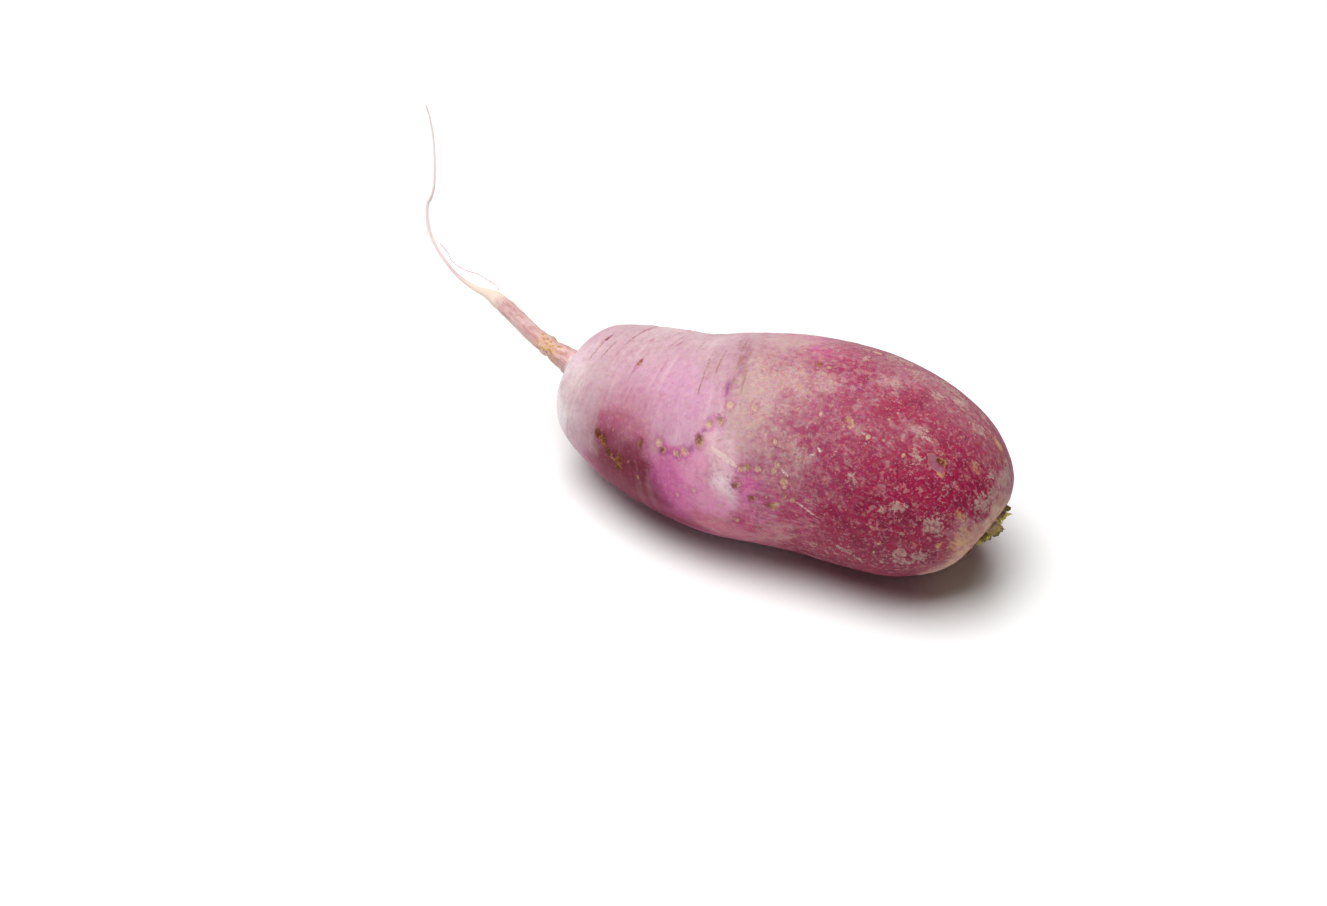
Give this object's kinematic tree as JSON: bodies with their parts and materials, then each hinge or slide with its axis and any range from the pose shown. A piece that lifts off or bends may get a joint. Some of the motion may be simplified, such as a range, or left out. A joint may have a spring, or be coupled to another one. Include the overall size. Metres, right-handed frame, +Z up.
{
  "type": "purple radish",
  "caption": "Long purple winter radish lying on its side, with its tap root, a fine side root and a trimmed crown of cut leaf-stalk stubs.",
  "frame": {"origin": "on the flat under the belly, where the root rests", "axes": "+X along the swollen root towards the crown, +Z up; the tap root leaves the other end towards -X and +Y and droops to the ground"},
  "size_m": [0.3038, 0.2056, 0.0719],
  "materials": {
    "root_skin": "thin living skin, dull to satin, purple with a pale tap-root end, brown lenticels and tan scurf",
    "fine_root": "dull, pale lilac fibre",
    "leaf_stalk": "dull, drying olive green with brown cut ends",
    "heart_bud": "dull, pale yellow green"
  },
  "bodies": {
    "root": {"root": "root_skin", "side_root": "fine_root", "leaf_stub_01": "leaf_stalk", "leaf_stub_02": "leaf_stalk", "leaf_stub_03": "leaf_stalk", "leaf_stub_04": "leaf_stalk", "leaf_stub_05": "leaf_stalk", "leaf_stub_06": "leaf_stalk", "leaf_stub_07": "leaf_stalk", "leaf_stub_08": "leaf_stalk", "leaf_stub_09": "leaf_stalk", "leaf_stub_10": "leaf_stalk", "leaf_stub_11": "leaf_stalk", "leaf_stub_12": "leaf_stalk", "leaf_stub_13": "leaf_stalk", "heart_bud": "heart_bud"}
  },
  "joints": []
}
